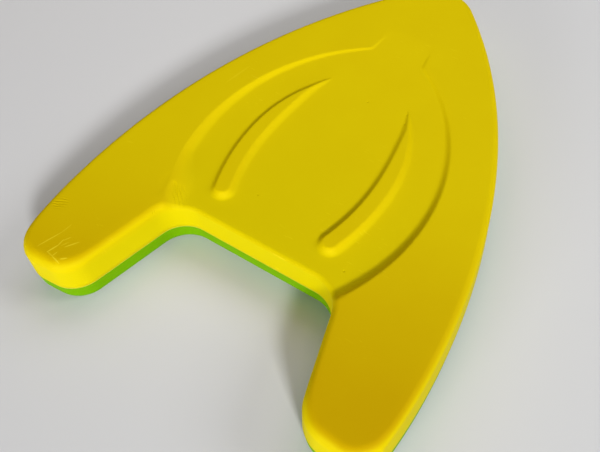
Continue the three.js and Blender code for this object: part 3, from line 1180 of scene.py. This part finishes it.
@dataclass(frozen=True)
class GlueFinish:
    """Dried contact glue, a clear amber that takes the foam's colour."""

    name: str = "dried_glue"
    colour: Colour = srgb(176, 178, 40)
    streak: Colour = srgb(150, 160, 30)
    roughness: float = 0.38
    streak_roughness: float = 0.1
    streak_size: float = 6.0
    streak_detail: float = 3.0
    streak_height: float = 0.05
    bump_strength: float = 0.4

    def material(self) -> Material:
        """Builds the finish as a material.

        Returns:
            The material.
        """
        made, w, place = start_material(self.name)
        noise = w.noise(place, self.streak_size * MM, self.streak_detail)
        inputs = {"Strength": self.bump_strength, "Distance": self.streak_height * MM, "Height": noise}
        bump = w.node("ShaderNodeBump", inputs)
        w.surface({
            "Base Color": w.mix_colour(noise, self.colour, self.streak),
            "Roughness": w.math("MULTIPLY_ADD", noise, self.streak_roughness, self.roughness),
            "Normal": bump.outputs["Normal"],
        })
        return made


@dataclass
class SkinGroups:
    """Shader groups that both foam colours use: the moulded grain, the wear, lines and wrinkles.

    A pair that is named for noise holds the noise levels where a mask starts and where it is full.
    """

    pore_share: float = 0.35
    mottle_detail: float = 3.0
    wear_detail: float = 1.0
    streak_size: float = 9.0
    streak_turn: float = 0.7
    streak_stretch: float = 9.0
    streak_noise: Pair = (0.68, 0.74)
    patch_size: float = 46.0
    patch_noise: Pair = (0.52, 0.68)
    scuffing: float = 0.35
    wander_pitches: float = 2.5
    fold_sharpness: float = 2.0
    fold_noise: Pair = (0.3, 0.55)
    faint_fold_share: float = 0.3
    full_fold_share: float = 0.4
    grain: Tree = field(init=False)
    wear: Tree = field(init=False)
    line: Tree = field(init=False)
    wrinkle: Tree = field(init=False)

    def __post_init__(self) -> None:
        """Builds the groups."""
        self.grain = self._grain()
        self.wear = self._wear()
        self.line = line_group(TreeKind.SHADER)
        self.wrinkle = self._wrinkle()

    def _grain(self) -> Tree:
        """Builds the closed-cell skin: a soft pebble, pinpoint pores and slow colour mottle.

        Returns:
            The group.
        """
        sizes = dict.fromkeys(["Grain Size", "Pore Size", "Mottle Size"], Kind.NUMBER)
        outputs = {"Height": Kind.NUMBER, "Mottle": Kind.NUMBER}
        w, given = start_group("Foam Grain", TreeKind.SHADER, {"Place": Kind.VECTOR, **sizes}, outputs)
        pebble = w.noise(given["Place"], given["Grain Size"])
        scale = w.math("DIVIDE", 1.0, given["Pore Size"])
        cells = w.node("ShaderNodeTexVoronoi", {"Vector": given["Place"], "Scale": scale})
        pores = w.ease(cells.outputs["Distance"], 0.0, self.pore_share)
        height = w.math("MULTIPLY_ADD", pores, self.pore_share, pebble)
        mottle = w.noise(given["Place"], given["Mottle Size"], self.mottle_detail)
        return w.put_out({"Height": height, "Mottle": mottle})

    def _wear(self) -> Tree:
        """Builds faint scattered scuffs from handling, as a mask.

        Returns:
            The group.
        """
        inputs, outputs = {"Place": Kind.VECTOR}, {"Scuff": Kind.NUMBER}
        w, given = start_group("Handling Wear", TreeKind.SHADER, inputs, outputs)
        place = given["Place"]
        turn, stretch = (0, 0, self.streak_turn), (1, self.streak_stretch, 1)
        inputs = {"Vector": place, "Rotation": turn, "Scale": stretch}
        turned = w.node("ShaderNodeMapping", inputs).outputs[0]
        streaks = w.ease(w.noise(turned, self.streak_size * MM, self.wear_detail), *self.streak_noise)
        patches = w.ease(w.noise(place, self.patch_size * MM, self.wear_detail), *self.patch_noise)
        return w.put_out({"Scuff": w.math("MULTIPLY", w.math("MULTIPLY", streaks, patches), self.scuffing)})

    def _wrinkle(self) -> Tree:
        """Builds fine uneven folds side by side in an oval patch.

        Returns:
            The group, whose field is 1 at the bottom of a fold.
        """
        numbers = dict.fromkeys(["Turn", "Half Length", "Half Width", "Pitch"], Kind.NUMBER)
        inputs = {"Place": Kind.VECTOR, "Centre": Kind.VECTOR, **numbers}
        w, given = start_group("Wrinkle Patch", TreeKind.SHADER, inputs, {"Fold": Kind.NUMBER})
        away = w.vector("SUBTRACT", given["Place"], given["Centre"])
        inputs = {"Vector": away, "Angle": w.math("MULTIPLY", given["Turn"], -1.0)}
        turned = w.node("ShaderNodeVectorRotate", inputs, rotation_type="Z_AXIS").outputs[0]
        along, across, above = w.node("ShaderNodeSeparateXYZ", {0: turned}).outputs
        share_along = w.math("DIVIDE", along, given["Half Length"])
        share_across = w.math("DIVIDE", across, given["Half Width"])
        reach = w.span(share_along, share_across, w.math("DIVIDE", above, given["Half Width"]))
        wander_size = w.math("MULTIPLY", given["Pitch"], self.wander_pitches)
        wander = w.noise(given["Place"], wander_size, self.wear_detail)
        count = w.math("ADD", w.math("DIVIDE", across, given["Pitch"]), wander)
        wave = w.math("MULTIPLY_ADD", w.math("COSINE", w.math("MULTIPLY", count, math.tau)), 0.5, 0.5)
        strength = w.ease(wander, *self.fold_noise, self.faint_fold_share, 1.0)
        fold = w.math("MULTIPLY", w.math("POWER", wave, self.fold_sharpness), strength)
        inside = w.ease(reach, self.full_fold_share, 1.0, 1.0, 0.0)
        return w.put_out({"Fold": w.math("MULTIPLY", fold, inside)})


def declare(piece: Piece, node: str | None) -> None:
    """Attaches a piece to the board's body and hides the CAD node that it replaces.

    Args:
        piece: The finished piece.
        node: The CAD node that it replaces, if any.
    """
    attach(piece, BODY)
    if node:
        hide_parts(node)
    log.info("%s: %d faces", piece.name, len(piece.data.polygons))


@dataclass
class UpperLayer:
    """The yellow layer, with its rim, sunken panel and crescent grips."""

    plan: BoardPlan
    groups: SkinGroups
    panel: SunkenPanel = field(default_factory=SunkenPanel)
    crescents: Crescents = field(default_factory=Crescents)
    waves: Waves = Waves()
    edge_radius: float = 5.5
    lip_radius: float = 3.5
    leg_end_radius: float = 8.5
    leg_edge_from_y: float = -62.0
    leg_edge_full_y: float = -88.0
    fine_spacing: float = 1.0
    coarse_spacing: float = 2.2
    wall_margin: float = 8.0
    crescent_margin: float = 2.5
    finish: FoamFinish = FoamFinish(
        name="yellow_foam_skin",
        skin=srgb(214, 192, 0),
        # Painted shade: the flats darken to deep towards the legs, where the light falls off.
        deep=srgb(190, 152, 0),
        side=srgb(203, 187, 0),
        worn=srgb(234, 214, 40),
    )
    creases: tuple[Crease, ...] = (
        Crease((-80, 11), (-68.5, -9), 6.0, 1.1),
        Crease((-84, -4), (-88, 16), 5.5, 0.2),
    )
    slack: SlackWall = SlackWall((-79, 13), 34, 17)
    marks: SkinMarks = SkinMarks(
        scratches=(
            Scratch((-128, -84), (-121, -66), 0.9, 0.5),
            Scratch((-121, -66), (-119.5, -57.5), 0.8, 0.35),
            Scratch((-118.5, -84), (-115.5, -75.5), 1.0, 0.7),
            Scratch((-115.5, -76.5), (-115.5, -70), 0.9, 0.5),
            Scratch((-115.5, -71.5), (-112, -65.5), 0.8, 0.4),
            Scratch((-110.5, -74.5), (-104, -65.5), 0.9, 0.6),
            Scratch((-119, -83.5), (-112.5, -84.5), 0.8, 0.45),
            Scratch((-113, -84.5), (-105, -86), 0.9, 0.6),
            Scratch((-113, -84.5), (-112, -80), 0.9, 0.5),
            Scratch((-106.5, -83.5), (-102.5, -80), 1.0, 0.7),
            Scratch((-113.5, -75), (-110.5, -69.5), 0.8, 0.3),
            Scratch((-107, 113), (-101, 138), 1.6, 0.2),
            Scratch((-137, 23), (-131.5, 24), 1.2, 0.2),
        ),
        wrinkles=(
            WrinklePatch((-141, -47.5, 46), 22, 8, 7.5, 2.2, 0.26),
            WrinklePatch((-70, 5, 43.5), 318, 12, 7.5, 2.8, 0.4),
            WrinklePatch((-73.5, -19, 45.5), 325, 6, 3.5, 1.9, 0.5),
        ),
        pits=((-21.5, 36.5), (3, 154), (66, 14.5), (36.5, 157.5), (39.5, 148.5)),
    )

    def _radii(self) -> np.ndarray:
        """Varies the top edge: tight over the notch, rounder at the legs' ends.

        Returns:
            Its radius at each outline point.
        """
        outline = self.plan.outline
        back = (outline[:, 1] - self.leg_edge_from_y) / (self.leg_edge_full_y - self.leg_edge_from_y)
        back = np.clip(back, 0, 1)
        back = back * back * (3 - 2 * back)
        radii = self.edge_radius + (self.leg_end_radius - self.edge_radius) * back
        return radii + (self.lip_radius - radii) * self.panel.lip_share(outline)

    def _face_points(self, inset: float) -> np.ndarray:
        """Spreads points over the moulded face, close together where the relief bends.

        Args:
            inset: How far inside the outline the face begins.

        Returns:
            The points.
        """

        def bends(points: np.ndarray) -> np.ndarray:
            """True where the relief needs close points."""
            near_wall = self.panel.near_wall(points, self.wall_margin)
            return near_wall | self.crescents.near(points, self.crescent_margin)

        fine = self.plan.lattice(self.fine_spacing, inset + self.fine_spacing)
        coarse = self.plan.lattice(self.coarse_spacing, inset + self.coarse_spacing / 2)
        return np.vstack([fine[bends(fine)], coarse[~bends(coarse)]])

    def build(self) -> Piece:
        """Makes the layer, pressed into its relief and with its finish on.

        Returns:
            The finished piece.
        """
        low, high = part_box(UPPER_NODE)
        joint, thickness = low[2] / MM, (high[2] - low[2]) / MM
        blank = FoamBlank("upper_foam_skin", self.plan, Facing.UP, joint, thickness, self._radii())
        piece = blank.build(self._face_points(blank.face_inset()))
        marks = (self.creases, self.slack, self.waves)
        relief = ReliefTree(self.plan, self.panel, self.crescents, *marks, joint, thickness)
        skin = self.finish.material(self.groups, self.marks, self.plan)
        settle(piece, relief.tree, relief.values(skin))
        declare(piece, UPPER_NODE)
        return piece


@dataclass
class LowerLayer:
    """The green layer, flat underneath."""

    plan: BoardPlan
    groups: SkinGroups
    waves: Waves = Waves()
    edge_radius: float = 8.0
    face_spacing: float = 4.0
    finish: FoamFinish = FoamFinish(
        name="green_foam_skin",
        skin=srgb(106, 159, 0),
        deep=srgb(100, 142, 0),
        side=srgb(106, 158, 0),
        worn=srgb(140, 190, 40),
    )

    def build(self) -> Piece:
        """Makes the layer with its finish on.

        Returns:
            The finished piece.
        """
        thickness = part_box(LOWER_NODE)[1][2] / MM
        radii = np.full(len(self.plan.outline), self.edge_radius)
        blank = FoamBlank("lower_foam_skin", self.plan, Facing.DOWN, thickness, thickness, radii)
        inset = blank.face_inset() + self.face_spacing / 2
        piece = blank.build(self.plan.lattice(self.face_spacing, inset))
        skin = self.finish.material(self.groups, SkinMarks(), self.plan)
        settle(piece, skin_tree(), {**metres(self.waves.lengths()), "Skin": skin})
        declare(piece, LOWER_NODE)
        return piece


@dataclass
class GlueJoint:
    """The glue between the layers: the film, and the bead that shows along its edge."""

    plan: BoardPlan
    finish: GlueFinish = GlueFinish()
    bead_inset: float = 0.45
    bead_radius: float = 0.3
    bead_unevenness: float = 0.5
    bead_lump_length: float = 10.0
    bead_spacing: float = 2.0
    bead_sides: int = 8

    def build(self) -> Piece:
        """Makes the bead and gives the CAD film its finish.

        Returns:
            The finished bead.
        """
        glue = self.finish.material()
        middle = (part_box(UPPER_NODE)[0][2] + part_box(LOWER_NODE)[1][2]) / 2 / MM
        points = self.plan.to_frame(self.plan.ring(self.bead_inset), middle)
        count = len(points)
        piece = add_mesh("glue_bead", points.tolist(), [(i, (i + 1) % count) for i in range(count)], [])
        lengths = metres({
            "Radius": self.bead_radius,
            "Lump Length": self.bead_lump_length,
            "Spacing": self.bead_spacing,
        })
        numbers = {"Unevenness": self.bead_unevenness, "Sides": self.bead_sides}
        settle(piece, bead_tree(), {**lengths, **numbers, "Glue": glue})
        declare(piece, None)
        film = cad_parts[FILM_NODE]
        film.data.materials.clear()
        film.data.materials.append(glue)
        log.info("%s: CAD node with a new finish", FILM_NODE)
        return piece


@dataclass
class Kickboard:
    """The whole board: both foam layers and the glue between them."""

    plan: BoardPlan = field(default_factory=BoardPlan)
    groups: SkinGroups = field(default_factory=SkinGroups)

    def build(self) -> list[Piece]:
        """Makes and dresses every piece."""
        layers = [layer(self.plan, self.groups) for layer in (UpperLayer, LowerLayer)]
        return [part.build() for part in (*layers, GlueJoint(self.plan))]


@dataclass
class Viewpoint:
    """The camera, at the angle that the reference view was taken from. Angles are degrees."""

    azimuth: float = 38.618
    elevation: float = 56.501
    roll: float = 6.286
    target_x: float = 22.575
    target_y: float = -78.571
    distance: float = 492.0
    lens: float = 42.0
    sensor: float = 36.0

    def build(self) -> None:
        """Makes the camera and gives it to the scene."""
        back, roll = way(self.azimuth, self.elevation), math.radians(self.roll)
        level = (-back).cross(Vector((0, 0, 1))).normalized()
        down = (-back).cross(level)
        right = level * math.cos(roll) + down * math.sin(roll)
        up = level * math.sin(roll) - down * math.cos(roll)
        data = bpy.data.cameras.new("viewpoint")
        data.lens = self.lens
        data.sensor_width = self.sensor
        camera = add_object("viewpoint", data)
        camera.matrix_world = Matrix((right, up, back)).transposed().to_4x4()
        target = Vector((self.target_x * MM, self.target_y * MM, CAD_BOX[1][2]))
        camera.location = target + back * self.distance * MM
        bpy.context.scene.camera = camera


@dataclass(frozen=True)
class Lamp:
    """A soft square light, aimed at the middle of the board. Angles are degrees, lengths metres."""

    name: str
    azimuth: float
    elevation: float
    distance: float
    size: float
    power: float
    colour: Triple = (1.0, 1.0, 1.0)

    def build(self) -> Piece:
        """Makes the lamp.

        Returns:
            The lamp.
        """
        data = bpy.data.lights.new(self.name, "AREA")
        data.shape = "SQUARE"
        data.size = self.size
        data.energy = self.power
        data.color = self.colour
        lamp = add_object(self.name, data)
        towards = way(self.azimuth, self.elevation)
        lamp.location = towards * self.distance
        lamp.rotation_euler = towards.to_track_quat("Z", "Y").to_euler()
        return lamp


@dataclass
class Studio:
    """A plain pale floor and soft light. The floor's size, drop and fade are metres."""

    floor_size: float = 6.0
    floor_drop: float = 0.1 * MM
    floor_colour: Colour = srgb(209, 210, 212)
    floor_roughness: float = 0.6
    floor_fade: Pair = (0.8, 2.6)
    sky_colour: Colour = srgb(236, 238, 240)
    sky_seen: float = 1.0
    sky_cast: float = 0.02
    lamps: tuple[Lamp, ...] = (
        Lamp("key", 50.0, 32.0, 4.0, 0.6, 107.0),
        Lamp("side", 120.0, 34.0, 4.0, 1.6, 54.0),
        Lamp("front", 0.0, 8.0, 4.0, 1.6, 136.0),
        Lamp("back", 180.0, 55.0, 1.4, 0.8, 4.8),
        Lamp("left", -120.0, 55.0, 1.4, 0.8, 3.2, (1.0, 0.86, 0.74)),
    )

    def build(self) -> None:
        """Makes the floor, the world and the lamps."""
        bpy.context.scene.view_settings.view_transform = "Standard"
        half = self.floor_size / 2
        corners = [(-half, -half, 0), (half, -half, 0), (half, half, 0), (-half, half, 0)]
        floor = add_mesh("floor", corners, [], [(0, 1, 2, 3)])
        floor.location.z = -self.floor_drop
        floor.data.materials.append(self._floor_material())
        self._world()
        for lamp in self.lamps:
            lamp.build()

    def _floor_material(self) -> Material:
        """Builds a matt pale surface that turns into the sky far from the board.

        Returns:
            The material.
        """
        made, w, place = start_material("pale_floor")
        far = w.ease(w.vector("LENGTH", place), *self.floor_fade)
        w.surface({
            "Base Color": w.mix_colour(far, self.floor_colour, srgb(0, 0, 0)),
            "Roughness": self.floor_roughness,
            "Emission Color": self.sky_colour,
            "Emission Strength": w.math("MULTIPLY", far, self.sky_seen),
        })
        return made

    def _world(self) -> None:
        """Makes an even pale sky."""
        world = bpy.data.worlds.new("sky")
        bpy.context.scene.world = world
        world.use_nodes = True
        world.node_tree.nodes.clear()
        w = Wiring(world.node_tree)
        seen = w.node("ShaderNodeLightPath").outputs["Is Camera Ray"]
        strength = w.math("MULTIPLY_ADD", seen, self.sky_seen - self.sky_cast, self.sky_cast)
        sky = w.node("ShaderNodeBackground", {"Color": self.sky_colour, "Strength": strength})
        w.node("ShaderNodeOutputWorld", {"Surface": sky.outputs[0]})


def main() -> None:
    """Builds the camera, the board and the studio."""
    logging.basicConfig(level=logging.INFO, format="%(name)s: %(message)s")
    Viewpoint().build()
    Kickboard().build()
    Studio().build()


if __name__ == "__main__":
    main()
